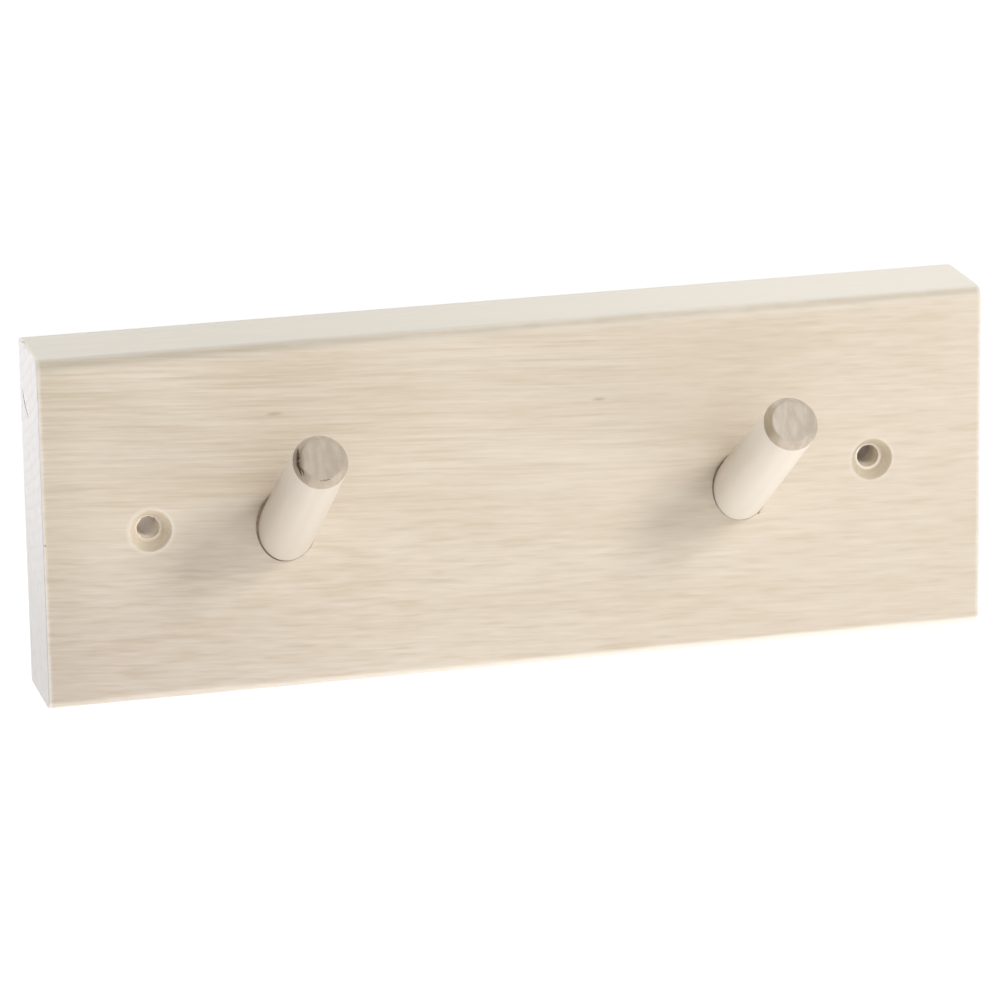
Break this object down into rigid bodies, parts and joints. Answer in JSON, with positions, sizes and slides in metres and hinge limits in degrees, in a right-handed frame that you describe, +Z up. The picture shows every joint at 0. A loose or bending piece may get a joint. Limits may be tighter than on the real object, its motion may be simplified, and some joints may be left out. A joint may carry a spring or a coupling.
{
  "type": "peg wall rack",
  "caption": "Wooden wall rack: a planed board with rounded front edges, slanted turned pegs and countersunk screw holes.",
  "frame": {"origin": "middle of the board's back face, which rests on the wall", "axes": "+Z up, +X along the board to the right as seen from the front, +Y into the wall; the pegs stand out towards -Y and upwards"},
  "size_m": [0.26, 0.0766, 0.096],
  "materials": {
    "board_wood": "planed, untreated pale wood with fine straight grain",
    "peg_wood": "turned and sanded pale wood with grey end grain"
  },
  "bodies": {
    "root": {"board": "board_wood", "left_peg": "peg_wood", "right_peg": "peg_wood"}
  },
  "joints": []
}
